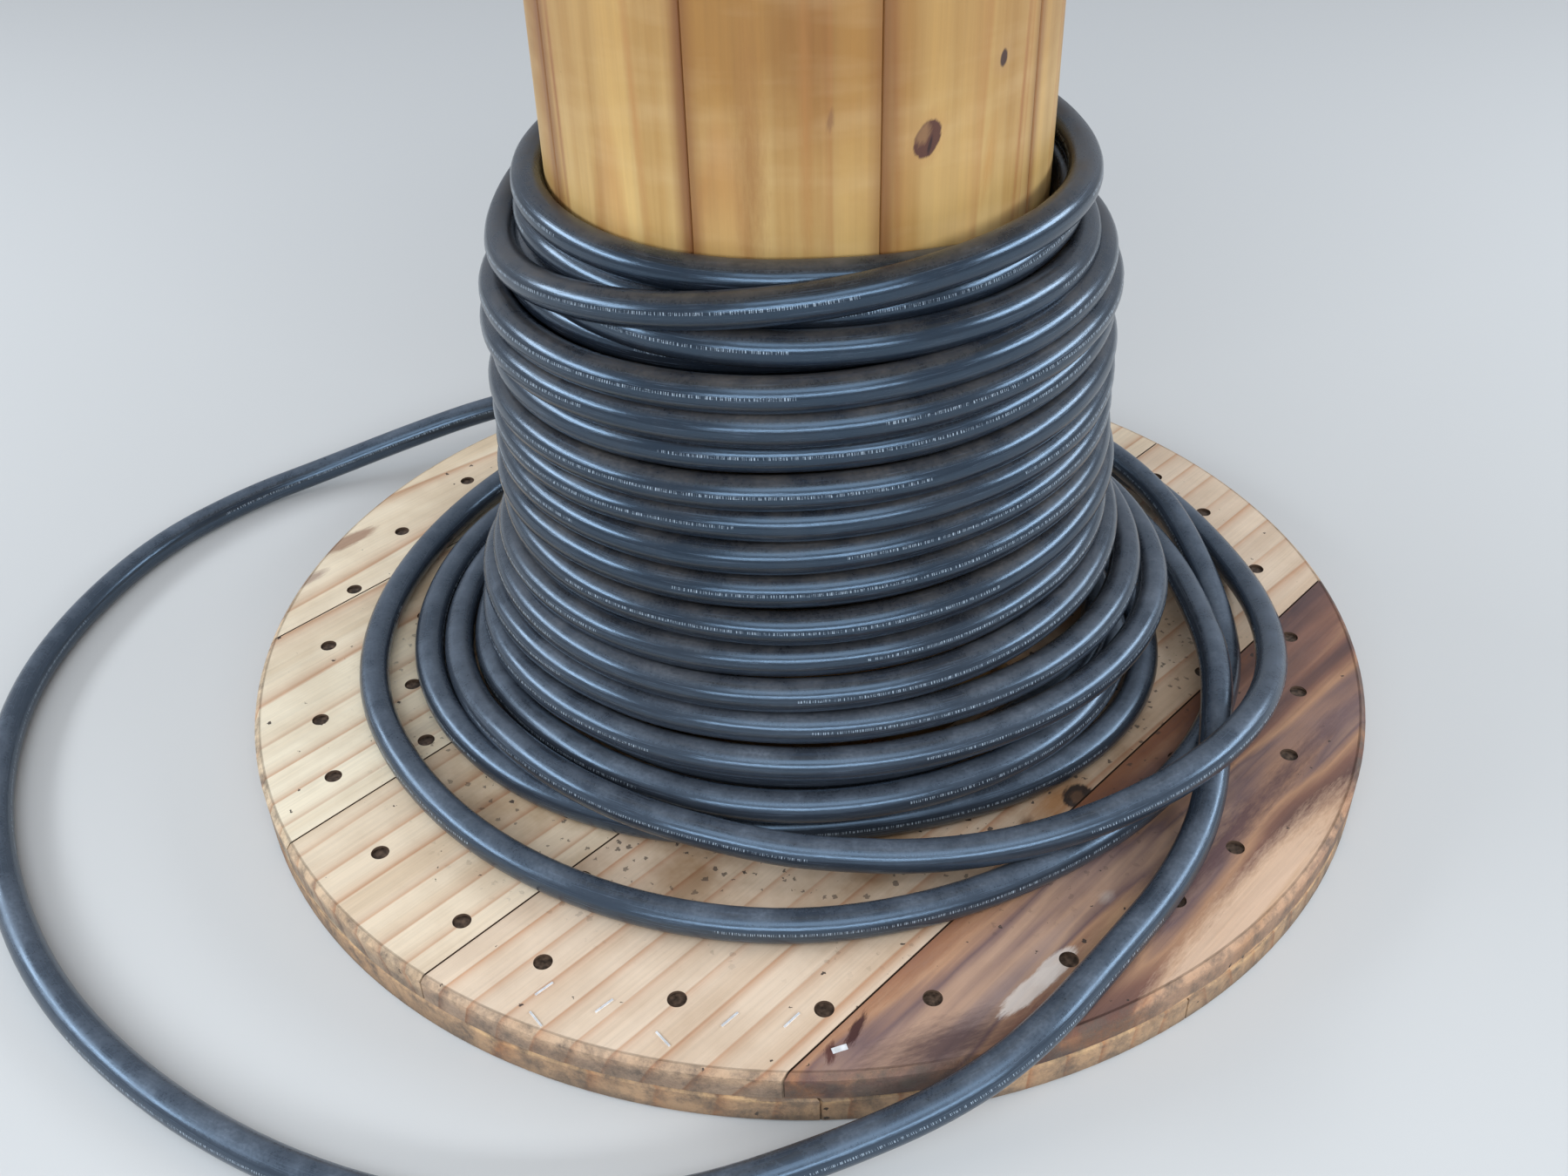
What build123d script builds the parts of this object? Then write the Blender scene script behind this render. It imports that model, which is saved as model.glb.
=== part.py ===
from build123d import *
import os
from math import cos, sin, tan, radians, pi, hypot

# Wooden cable drum standing on its end, with a loose pile of heavy cable round its barrel.
# Millimetres, +Z up. The drum's axis is Z, and its lower flange stands on the floor, z = 0.

# Flanges: two plies of boards each, the inner ply turned a quarter against the outer one
flange_diameter = 762.0
ply_thickness = 19.0
board_gap = 1.2
inner_board_direction = 47.0
inner_board_widths = [192.0, 143.0, 183.0]
inner_first_joint = -248.0
outer_board_widths = [184.0, 184.0, 184.0]
outer_first_joint = -276.0
rim_wear = 3.0
seam_wear = 1.5

# Barrel: staves with rounded backs, seated in a groove in each inner ply
barrel_diameter = 292.0
stave_thickness = 20.0
stave_angles = [38.0, 41.0, 40.0, 40.0, 40.0, 40.0, 40.0, 40.0, 41.0]
first_stave_angle = -111.7
stave_edge_round = 1.6
groove_depth = 8.0
groove_clearance = 0.3
traverse = 610.0

# Arbor hole
arbor_hole_diameter = 76.0

# Tie bolts that clamp the flanges on the staves
bolt_count = 4
bolt_circle_diameter = 208.0
bolt_first_angle = 2.0
bolt_diameter = 10.0
bolt_clearance = 0.5
bolt_end_round = 1.0
nut_across_flats = 16.0
nut_height = 8.0
head_height = 6.5
washer_diameter = 28.0
washer_thickness = 2.0
recess_diameter = 32.0
recess_depth = 13.0
bolt_stick_out = 1.5

# Nails that hold the plies together, in three rings
nail_ring_diameters = [676.0, 552.0, 420.0]
nail_ring_counts = [29, 24, 16]
nail_ring_first_angles = [183.0, 176.7, 7.6]
nail_wander = 1.4
nail_wander_turn = 2.1
nail_shank_diameter = 4.0
nail_head_diameter = 10.8
nail_head_thickness = 1.5
nail_pocket_depth = 3.2
nail_clearance = 0.1
nail_tip_cover = 2.5
nail_joint_margin = 7.6
nail_nudge = 0.8

# Cable
cable_diameter = 20.0
pile_turns = 18
pile_pitch = 20.0
pile_foot_diameter = 444.0
pile_bulge_diameter = 456.0
pile_top_diameter = 338.0
pile_bulge_turn = 2
pile_taper = 1.2
pile_bore_clearance = 0.5
cable_rest_gap = 0.2
arc_share = 0.45

flange_radius = flange_diameter / 2
flange_thickness = 2 * ply_thickness
barrel_radius = barrel_diameter / 2
upper_flange_base = flange_thickness + traverse
drum_height = upper_flange_base + flange_thickness
cable_radius = cable_diameter / 2
overcut = 1.0


def turned(angle):
    return Rot(0, 0, angle)


def upright(radius, height, base):
    return Pos(0, 0, base) * Cylinder(radius, height, align=(Align.CENTER, Align.CENTER, Align.MIN))


def ring(outer_radius, inner_radius, height, base):
    return upright(outer_radius, height, base) - upright(inner_radius, height + 2 * overcut, base - overcut)


def polar(radius, angle):
    return radius * cos(radians(angle)), radius * sin(radians(angle))


# Places of the joints, measured across the boards from the drum's axis
def joint_offsets(first_joint, widths):
    offsets = [first_joint]
    for width in widths:
        offsets.append(offsets[-1] + width)
    return offsets


inner_joints = joint_offsets(inner_first_joint, inner_board_widths)
outer_joints = joint_offsets(outer_first_joint, outer_board_widths)


# A nail stays clear of every joint: across the inner boards and across the outer ones
def crosses_joint(x, y):
    a = radians(inner_board_direction)
    along = x * cos(a) + y * sin(a)
    across = y * cos(a) - x * sin(a)
    near_inner = any(abs(across - joint) < nail_joint_margin for joint in inner_joints)
    near_outer = any(abs(along - joint) < nail_joint_margin for joint in outer_joints)
    return near_inner or near_outer


def nail_places():
    places = []
    for ring_diameter, count, first_angle in zip(nail_ring_diameters, nail_ring_counts, nail_ring_first_angles):
        for i in range(count):
            angle = first_angle + i * 360 / count + nail_wander * sin(nail_wander_turn * i)
            x, y = polar(ring_diameter / 2, angle)
            while crosses_joint(x, y):
                angle += nail_nudge
                x, y = polar(ring_diameter / 2, angle)
            places.append((x, y))
    return places


nails_at = nail_places()
bolts_at = [polar(bolt_circle_diameter / 2, bolt_first_angle + i * 360 / bolt_count) for i in range(bolt_count)]


# One nail of the lower flange, driven down from the face that the cable lies on
def nail():
    top = flange_thickness - nail_pocket_depth
    head = upright(nail_head_diameter / 2, nail_head_thickness, top)
    shank = upright(nail_shank_diameter / 2, top - nail_tip_cover, nail_tip_cover)
    return head + shank


def nail_hole():
    pocket_base = flange_thickness - nail_pocket_depth
    pocket = upright(nail_head_diameter / 2 + nail_clearance, nail_pocket_depth + overcut, pocket_base)
    bore = upright(nail_shank_diameter / 2 + nail_clearance, pocket_base - nail_tip_cover + overcut, nail_tip_cover)
    return pocket + bore


# One ply as a whole disc: bore, bolt holes and edges worn off at a slant, before it is cut into boards
def ply(base, top_wear, bottom_wear):
    disc = upright(flange_radius, ply_thickness, base)
    rims = disc.edges().filter_by(GeomType.CIRCLE).sort_by(Axis.Z)
    disc = chamfer(rims[-1], top_wear)
    rims = disc.edges().filter_by(GeomType.CIRCLE).sort_by(Axis.Z)
    disc = chamfer(rims[0], bottom_wear)
    disc -= upright(arbor_hole_diameter / 2, ply_thickness + 2 * overcut, base - overcut)
    for x, y in bolts_at:
        disc -= Pos(x, y, 0) * upright(bolt_diameter / 2 + bolt_clearance, ply_thickness + 2 * overcut, base - overcut)
    return disc


# Cuts a ply into boards that run along the given direction
def boards(disc, joints, direction, base):
    edges = [-flange_radius - overcut] + joints + [flange_radius + overcut]
    pieces = []
    for low, high in zip(edges[:-1], edges[1:]):
        width = high - low - board_gap
        strip = Box(2 * flange_diameter, width, 2 * ply_thickness)
        strip = turned(direction) * Pos(0, (low + high) / 2, base + ply_thickness / 2) * strip
        pieces.append(disc & strip)
    return pieces


# The lower flange's boards: the outer ply on the floor, the inner ply under the cable
def flange_boards():
    outer_disc = ply(0, seam_wear, seam_wear)
    for x, y in bolts_at:
        outer_disc -= Pos(x, y, 0) * upright(recess_diameter / 2, recess_depth + overcut, -overcut)
    inner_disc = ply(ply_thickness, rim_wear, seam_wear)
    groove_outer = barrel_radius + groove_clearance
    groove_inner = barrel_radius - stave_thickness - groove_clearance
    inner_disc -= ring(groove_outer, groove_inner, groove_depth + overcut, flange_thickness - groove_depth)
    hole = nail_hole()
    holes = [Pos(x, y, 0) * hole for x, y in nails_at]
    outer_disc = outer_disc.cut(*holes)
    inner_disc = inner_disc.cut(*holes)
    outer = boards(outer_disc, outer_joints, inner_board_direction - 90, 0)
    inner = boards(inner_disc, inner_joints, inner_board_direction, ply_thickness)
    return outer, inner


# One stave, a sector of the given angle with a rounded back and a flat inner face
def stave(span):
    half = span / 2
    length = traverse + 2 * groove_depth
    base = flange_thickness - groove_depth
    bar = upright(barrel_radius, length, base)
    reach = 2 * barrel_radius
    inside = barrel_radius - stave_thickness
    keep = Pos(inside, 0, base) * Box(reach, reach, length, align=(Align.MIN, Align.CENTER, Align.MIN))
    bar &= keep
    for side in (-1, 1):
        cutter = Box(2 * reach, reach, length + 2 * overcut, align=(Align.CENTER, Align.MIN, Align.MIN))
        cutter = Pos(0, 0, base - overcut) * turned(half) * cutter
        bar -= cutter if side > 0 else mirror(cutter, about=Plane.XZ)
    long_edges = bar.edges().filter_by(Axis.Z).sort_by(lambda e: hypot(e.center().X, e.center().Y))
    return fillet(long_edges[-2:], stave_edge_round)


def washer(x, y, base):
    hole = bolt_diameter / 2 + bolt_clearance
    return Pos(x, y, 0) * ring(washer_diameter / 2, hole, washer_thickness, base)


def hexagon(height, base):
    across_corners = nut_across_flats / cos(pi / 6)
    outline = RegularPolygon(across_corners / 2, 6)
    return Pos(0, 0, base) * extrude(outline, height)


# Tie bolt: its head is in the upper flange's recess and its nut is in the lower one's
lower_washer_base = recess_depth - washer_thickness
nut_base = lower_washer_base - nut_height
upper_washer_base = drum_height - recess_depth
head_base = upper_washer_base + washer_thickness


def tie_bolt(x, y):
    bottom = nut_base - bolt_stick_out
    shank = upright(bolt_diameter / 2, head_base - bottom, bottom)
    tip = shank.edges().filter_by(GeomType.CIRCLE).sort_by(Axis.Z)[0]
    shank = chamfer(tip, bolt_end_round)
    return Pos(x, y, 0) * (shank + hexagon(head_height, head_base))


def tie_nut(x, y):
    blank = hexagon(nut_height, nut_base)
    return Pos(x, y, 0) * (blank - upright(bolt_diameter / 2, nut_height + 2 * overcut, nut_base - overcut))


# Outer radius of the pile at a turn, counted from the flange up
def pile_radius(turn):
    if turn <= pile_bulge_turn:
        share = turn / pile_bulge_turn
        return (pile_foot_diameter + share * (pile_bulge_diameter - pile_foot_diameter)) / 2
    share = (turn - pile_bulge_turn) / (pile_turns - 1 - pile_bulge_turn)
    return (pile_top_diameter + (pile_bulge_diameter - pile_top_diameter) * (1 - share) ** pile_taper) / 2


# The pile as one turned solid: a bore round the barrel and a half-round rib for each turn
def cable_pile():
    bore = barrel_radius + pile_bore_clearance
    outline = None
    for turn in range(pile_turns):
        centre_radius = pile_radius(turn) - cable_radius
        low = flange_thickness + turn * pile_pitch
        middle = low + pile_pitch / 2
        if turn == 0:
            middle = low + cable_radius
        core = Pos((bore + centre_radius) / 2, low + pile_pitch / 2) * Rectangle(centre_radius - bore, pile_pitch)
        rib = Pos(centre_radius, middle) * Circle(cable_radius)
        outline = core + rib if outline is None else outline + core + rib
    return revolve(Plane.XZ * outline, Axis.Z)


# Heights of the cable's centre line
on_floor = cable_radius + cable_rest_gap
on_flange = flange_thickness + cable_radius + cable_rest_gap

# Two loops on the flange, from the pile's foot: the inner loop, then the outer one
flange_route = [
    (40, 188, on_flange), (-30, 236, on_flange), (-115, 240, on_flange), (-195, 200, on_flange),
    (-250, 130, on_flange), (-269, 45, on_flange), (-262, -45, on_flange), (-232, -120, on_flange),
    (-172, -178, on_flange), (-95, -221, on_flange), (-10, -245, on_flange + 4), (75, -253, on_flange + 13),
    (150, -243, on_flange + 23), (222, -211, on_flange + 34), (273, -162, on_flange + 37),
    (304, -95, on_flange + 23), (317, -15, on_flange + 8), (308, 60, on_flange), (285, 128, on_flange),
    (250, 192, on_flange), (195, 245, on_flange), (125, 280, on_flange), (45, 300, on_flange),
    (-45, 303, on_flange), (-130, 282, on_flange), (-205, 231, on_flange), (-255, 160, on_flange),
    (-288, 82, on_flange), (-302, 0, on_flange), (-292, -82, on_flange), (-252, -160, on_flange),
    (-190, -227, on_flange), (-108, -274, on_flange), (-17, -293, on_flange), (72, -279, on_flange),
    (150, -241, on_flange), (215, -190, on_flange), (264, -122, on_flange), (290, -45, on_flange),
    (286.5, 13.5, on_flange + 6),
]

# From there over the inner loop and the flange's back edge, round on the floor and back to the pile
floor_route = [
    (286.5, 13.5, on_flange + 6), (283, 72, on_flange + 12), (262, 132, on_flange + 21), (225, 192, on_flange + 24),
    (183, 252, on_flange + 24), (122, 315, on_flange + 15), (45, 346, on_flange + 4), (-45, 356, on_flange + 1),
    (-130, 347, on_flange + 1), (-207, 325, on_flange + 2), (-278, 300, on_flange - 3), (-345, 280, on_floor + 20),
    (-410, 256, on_floor + 5), (-470, 218, on_floor), (-523, 150, on_floor), (-553, 60, on_floor),
    (-560, -30, on_floor), (-540, -125, on_floor), (-498, -215, on_floor), (-435, -300, on_floor),
    (-352, -369, on_floor), (-260, -418, on_floor), (-165, -442, on_floor), (-70, -434, on_floor),
    (10, -411, on_floor + 8), (72, -394, on_floor + 27), (118, -367, on_flange + 4), (165, -312, on_flange + 1),
    (207, -262, on_flange), (237, -212, on_flange + 6), (252, -158, on_flange + 19), (266, -95, on_flange + 26),
    (268, -25, on_flange + 16), (262, 45, on_flange + 4), (243, 105, on_flange), (205, 150, on_flange),
    (150, 172, on_flange), (95, 178, on_flange),
]


# Arc radii for a route: as large as the shorter run beside each corner allows
def corner_radii(points):
    radii = []
    for before, corner, after in zip(points[:-2], points[1:-1], points[2:]):
        run_in = corner - before
        run_out = after - corner
        half_turn = radians(run_in.get_angle(run_out)) / 2
        radii.append(arc_share * min(run_in.length, run_out.length) / tan(half_turn))
    return radii


def tube(route, name):
    points = [Vector(*point) for point in route]
    radii = corner_radii(points)
    path = FilletPolyline(*points, radius=radii)
    section = Plane(origin=path @ 0, z_dir=path % 0) * Circle(cable_radius)
    solid = sweep(section, path=path)
    expected = pi * cable_radius ** 2 * path.length
    print(name, "length", round(path.length), "smallest radius", round(min(radii)),
          "volume share", round(solid.volume / expected, 4))
    print("   radii", [round(r) for r in radii])
    return solid


def save(shape, name):
    export_step(shape, f"parts/{name}.step")


# The upper flange is the lower one turned over
def turned_over(shape):
    return Pos(0, 0, drum_height) * mirror(shape, about=Plane.XY)


os.makedirs("parts", exist_ok=True)

outer_boards, inner_boards = flange_boards()
for number, board in enumerate(outer_boards, 1):
    save(board, f"lower_flange_outer_board_{number}")
    save(turned_over(board), f"upper_flange_outer_board_{number}")
for number, board in enumerate(inner_boards, 1):
    save(board, f"lower_flange_inner_board_{number}")
    save(turned_over(board), f"upper_flange_inner_board_{number}")

one_nail = nail()
flange_nails = [Pos(x, y, 0) * one_nail for x, y in nails_at]
save(Compound(children=flange_nails), "lower_flange_nails")
save(Compound(children=[turned_over(piece) for piece in flange_nails]), "upper_flange_nails")

joint_angle = first_stave_angle
for number, span in enumerate(stave_angles, 1):
    save(turned(joint_angle + span / 2) * stave(span), f"barrel_stave_{number}")
    joint_angle += span

for number, (x, y) in enumerate(bolts_at, 1):
    save(tie_bolt(x, y), f"tie_bolt_{number}")
    save(tie_nut(x, y), f"tie_nut_{number}")
    save(washer(x, y, lower_washer_base), f"lower_washer_{number}")
    save(washer(x, y, upper_washer_base), f"upper_washer_{number}")

pile = cable_pile()
save(pile, "cable_pile")
save(tube(flange_route, "cable_flange_loops") - pile, "cable_flange_loops")
save(tube(floor_route, "cable_floor_loop") - pile, "cable_floor_loop")
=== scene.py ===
import bpy
import math
import random
from mathutils import Vector, Matrix


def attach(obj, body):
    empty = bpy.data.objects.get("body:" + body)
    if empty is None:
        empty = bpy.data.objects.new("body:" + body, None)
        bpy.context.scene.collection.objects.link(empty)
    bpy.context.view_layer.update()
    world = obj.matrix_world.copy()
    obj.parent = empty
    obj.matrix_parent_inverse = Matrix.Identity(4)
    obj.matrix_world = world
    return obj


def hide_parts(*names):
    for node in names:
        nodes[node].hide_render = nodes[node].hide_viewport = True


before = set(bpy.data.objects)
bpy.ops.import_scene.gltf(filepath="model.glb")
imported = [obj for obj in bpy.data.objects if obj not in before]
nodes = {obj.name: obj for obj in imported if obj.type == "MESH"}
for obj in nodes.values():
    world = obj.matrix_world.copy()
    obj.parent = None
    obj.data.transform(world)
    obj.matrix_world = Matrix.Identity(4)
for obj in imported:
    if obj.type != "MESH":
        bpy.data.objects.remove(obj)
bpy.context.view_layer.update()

random.seed(7)
flangeTop = 0.038        # the face that the cable lies on
drumHeight = 0.686
boardAngle = 47          # inner boards run this way, in degrees from +X
restGap = 0.0002         # the cable stops this far above what it lies on

# Camera: where the photographer stood
camera = {
    "place": (0.0, -0.8593, 0.7056),
    "pitch": 36.55,      # looking down
    "roll": -1.59,
    "yaw": -0.98,
    "lens": 35.0,
    "sensor": 36.0,
    "clipStart": 0.01,
}


def makeCamera():
    pitch, roll, yaw = (math.radians(camera[k]) for k in ("pitch", "roll", "yaw"))
    level = math.cos(pitch)
    forward = Vector((math.sin(yaw) * level, math.cos(yaw) * level, -math.sin(pitch)))
    right = Vector((math.cos(yaw), -math.sin(yaw), 0))
    up = right.cross(forward)
    tiltedRight = math.cos(roll) * right + math.sin(roll) * up
    tiltedUp = math.cos(roll) * up - math.sin(roll) * right
    data = bpy.data.cameras.new("camera")
    data.lens = camera["lens"]
    data.sensor_width = camera["sensor"]
    data.clip_start = camera["clipStart"]
    obj = bpy.data.objects.new("camera", data)
    bpy.context.scene.collection.objects.link(obj)
    turn = Matrix((tiltedRight, tiltedUp, -forward)).transposed()
    obj.matrix_world = Matrix.Translation(camera["place"]) @ turn.to_4x4()
    bpy.context.scene.camera = obj


makeCamera()
print("camera ready")

# Cable: points are (x, y, height over its rest on the flange) or (azimuth, radius, height over the flange)
cable = {
    "diameter": 0.020,
    "sides": 20,
    "lineSteps": 7,          # samples between two control points
    "turnPoints": 18,        # control points in each turn of the stack
    "tilt": 0.005,           # how far a turn rises from left to right
    "wander": 0.001,         # how uneven the turns are
}
# The stack's turns: height and radius where each passes behind the barrel and in front of it
stackStations = [
    (.092, .199), (.1015, .200), (.110, .197), (.120, .190), (.125, .188), (.133, .174), (.143, .179),
    (.144, .192), (.161, .189), (.167, .188), (.180, .187), (.189, .186), (.200, .186), (.210, .185),
    (.220, .186), (.230, .187), (.240, .183), (.250, .180), (.260, .184), (.269, .186), (.280, .181),
    (.288, .184), (.295, .175), (.295, .160), (.312, .166),
]
cableRadius = cable["diameter"] / 2
onFlange = flangeTop + cableRadius + restGap
onFloor = cableRadius + restGap

# The cable's foot comes out from under the pile, lies on the flange and turns in under the inner loop
footTurn = [
    (58, .163, .010), (72, .174, .010), (86, .198, .010), (98, .222, .010), (110, .243, .010),
    (122, .258, .010), (137, .268, .010), (155, .271, .010), (172, .269, .010), (188, .266, .010),
    (203, .260, .010), (218, .251, .010), (232, .240, .010), (246, .229, .010), (260, .218, .010),
    (275, .213, .010), (290, .215, .010), (305, .223, .010), (320, .232, .010), (335, .238, .010),
    (350, .237, .010), (5, .231, .010), (20, .226, .010), (40, .222, .010), (60, .221, .012),
    (80, .223, .020), (95, .226, .029), (108, .229, .031), (122, .236, .022), (137, .244, .012),
    (155, .249, .010), (172, .248, .010), (188, .245, .011), (203, .241, .017), (218, .240, .028),
    (232, .241, .032), (246, .242, .031), (260, .242, .026),
]
# The rest of the inner loop, and the outer loop, on the flange
flangeLoops = [
    (.000, -.245, .011), (.075, -.253, .014), (.150, -.243, .023), (.222, -.211, .034), (.273, -.162, .037),
    (.304, -.095, .023), (.317, -.015, .008), (.308, .060, 0), (.285, .128, 0), (.250, .192, 0),
    (.195, .245, 0), (.125, .280, 0), (.045, .300, 0), (-.045, .303, 0), (-.130, .282, 0), (-.205, .231, 0),
    (-.255, .160, 0), (-.288, .082, 0), (-.302, .000, 0), (-.292, -.082, 0), (-.252, -.160, 0),
    (-.190, -.227, 0), (-.108, -.274, 0), (-.017, -.293, 0), (.072, -.279, 0), (.150, -.241, 0),
    (.215, -.190, 0), (.264, -.122, 0), (.290, -.045, 0), (.283, .072, .012), (.262, .132, .021),
    (.225, .192, .024), (.183, .252, .024), (.122, .315, .015), (.045, .346, .004), (-.045, .356, .001),
    (-.130, .347, .001), (-.207, .325, .002), (-.278, .300, -.003),
]
# Round on the floor, heights over its rest on the floor
floorLoop = [
    (-.345, .280, .020), (-.410, .256, .005), (-.470, .218, 0), (-.523, .150, 0), (-.553, .060, 0),
    (-.560, -.030, 0), (-.540, -.125, 0), (-.498, -.215, 0), (-.435, -.300, 0), (-.352, -.369, 0),
    (-.260, -.418, 0), (-.165, -.442, 0), (-.070, -.434, 0), (.010, -.411, .008), (.072, -.394, .027),
]
# Back over the rim, under the inner loop and round behind the barrel
returnRun = [
    (.118, -.367, .004), (.165, -.312, .001), (.207, -.262, 0), (.237, -.212, .006), (.252, -.158, .019),
    (.266, -.095, .026), (.268, -.025, .018), (.262, .045, .013),
]
# Loose turns at the pile's foot, fanned out where nothing ties them
fannedTurns = [
    (24, .262, .024), (38, .249, .030), (52, .229, .033), (66, .211, .034), (80, .203, .033),
    (94, .202, .032), (108, .204, .027), (125, .212, .020), (145, .222, .014), (165, .227, .012),
    (180, .225, .012), (195, .222, .013), (210, .217, .020), (225, .218, .029), (240, .218, .031),
    (255, .219, .0315), (270, .219, .0315), (285, .218, .0315), (300, .219, .031), (315, .221, .031),
    (330, .220, .029), (345, .216, .022), (0, .211, .016), (20, .204, .014), (40, .194, .022),
    (60, .183, .033), (80, .180, .035), (100, .180, .037), (120, .187, .036), (140, .197, .033),
    (160, .206, .031), (180, .209, .032), (200, .207, .034), (220, .201, .039), (240, .199, .040),
    (255, .199, .040), (270, .199, .040), (285, .199, .040), (300, .200, .041), (315, .202, .043),
    (330, .203, .044), (345, .203, .043), (0, .200, .042), (20, .195, .043), (40, .191, .047),
    (60, .189, .052), (80, .188, .054), (100, .190, .056), (120, .194, .055), (140, .201, .053),
    (160, .208, .051), (180, .213, .052), (200, .215, .053), (220, .214, .056), (240, .213, .059),
    (255, .213, .060), (270, .213, .060), (285, .214, .060), (300, .218, .061), (315, .225, .062),
    (330, .232, .062), (345, .237, .062), (0, .237, .063), (15, .231, .065), (30, .221, .068),
    (45, .211, .070), (60, .204, .072), (80, .200, .073), (100, .199, .075), (120, .201, .075),
    (140, .206, .074), (160, .210, .072), (180, .212, .073), (200, .209, .075), (220, .206, .077),
    (240, .204, .079), (255, .203, .080), (270, .203, .080), (285, .204, .081), (300, .207, .082),
    (315, .211, .082), (330, .215, .082), (345, .217, .082), (0, .216, .083), (15, .212, .085),
    (30, .207, .087), (45, .203, .089), (60, .200, .091), (80, .199, .092),
]
# The last turns: one crosses the front from low left to high right, and the end is tucked in behind it
topTurns = [
    (108, .165, .312), (126, .163, .311), (144, .161, .309), (162, .160, .308), (180, .160, .307),
    (200, .161, .306), (220, .166, .306), (240, .171, .307), (256, .174, .308), (272, .175, .308),
    (290, .175, .308), (308, .174, .308), (326, .172, .307), (344, .170, .306), (2, .168, .308),
    (20, .166, .312), (38, .164, .317), (56, .163, .322), (74, .162, .327), (92, .161, .330),
    (110, .160, .331), (128, .159, .330), (146, .158, .328), (164, .158, .326), (182, .158, .325),
    (200, .158, .324), (218, .158, .323), (236, .158, .321), (254, .158, .319), (272, .159, .319),
    (290, .161, .321), (308, .160, .322), (326, .159, .324), (344, .159, .326), (2, .159, .328),
    (20, .160, .332), (38, .161, .337), (56, .162, .342), (74, .163, .345), (92, .165, .346),
    (108, .170, .342), (124, .176, .336), (140, .179, .328), (154, .179, .319), (168, .178, .311),
    (182, .177, .305), (197, .176, .3055), (213, .175, .310), (229, .175, .3165), (245, .175, .323),
    (261, .175, .330), (277, .175, .336), (293, .174, .341), (309, .172, .344), (325, .170, .345),
    (341, .168, .3455), (0, .165, .345), (20, .164, .347), (40, .162, .352), (60, .160, .357),
    (80, .159, .360), (100, .158, .358), (120, .158, .352), (140, .158, .347), (160, .158, .344),
    (180, .158, .342), (200, .158, .340), (220, .158, .338), (240, .158, .337), (260, .158, .3375),
    (276, .157, .338), (290, .1565, .336), (304, .1565, .333),
]


def polarPoint(azimuth, radius, height):
    a = math.radians(azimuth)
    return Vector((radius * math.cos(a), radius * math.sin(a), flangeTop + height))


# Regular turns of the stack, from the back of the first to the back of the last
def stackTurns():
    points = []
    perTurn = cable["turnPoints"]
    halfTurns = len(stackStations) - 1
    grow = 1 / (0.5 + 0.5 * math.cos(math.pi / perTurn))      # the curve runs inside its control points
    for step in range(1, perTurn * halfTurns // 2 + 1):
        turns = step / perTurn                      # 0 at the back, 0.5 at the front of the first turn
        azimuth = 90 + 360 * turns
        low = min(int(2 * turns), halfTurns - 1)
        share = 2 * turns - low
        height = stackStations[low][0] + share * (stackStations[low + 1][0] - stackStations[low][0])
        radius = stackStations[low][1] + share * (stackStations[low + 1][1] - stackStations[low][1])
        fade = min(1, turns, halfTurns / 2 - turns)
        height += cable["tilt"] * fade * math.cos(math.radians(azimuth))
        radius += cable["wander"] * fade * random.uniform(-1, 1)
        points.append(polarPoint(azimuth, radius * grow, height))
    return points


def cableRoute():
    route = [polarPoint(*p) for p in footTurn]
    route += [Vector((x, y, onFlange + h)) for x, y, h in flangeLoops]
    route += [Vector((x, y, onFloor + h)) for x, y, h in floorLoop]
    route += [Vector((x, y, onFlange + h)) for x, y, h in returnRun]
    route += [polarPoint(*p) for p in fannedTurns]
    route += stackTurns()
    route += [polarPoint(*p) for p in topTurns]
    return route


# Points along a smooth spline that has the route as its control points
def smoothLine(route):
    curve = bpy.data.curves.new("cableLine", "CURVE")
    curve.dimensions = "3D"
    curve.resolution_u = cable["lineSteps"]
    spline = curve.splines.new("NURBS")
    spline.points.add(len(route) - 1)
    for point, place in zip(spline.points, route):
        point.co = (*place, 1)
    spline.order_u = 3
    spline.use_endpoint_u = True
    holder = bpy.data.objects.new("cableLine", curve)
    bpy.context.scene.collection.objects.link(holder)
    mesh = bpy.data.meshes.new_from_object(holder)
    line = [v.co.copy() for v in mesh.vertices]
    bpy.data.objects.remove(holder)
    return line


def newObject(name, verts, faces, smooth=True):
    mesh = bpy.data.meshes.new(name)
    mesh.from_pydata(verts, [], faces)
    mesh.update()
    for face in mesh.polygons:
        face.use_smooth = smooth
    obj = bpy.data.objects.new(name, mesh)
    bpy.context.scene.collection.objects.link(obj)
    return obj


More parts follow.
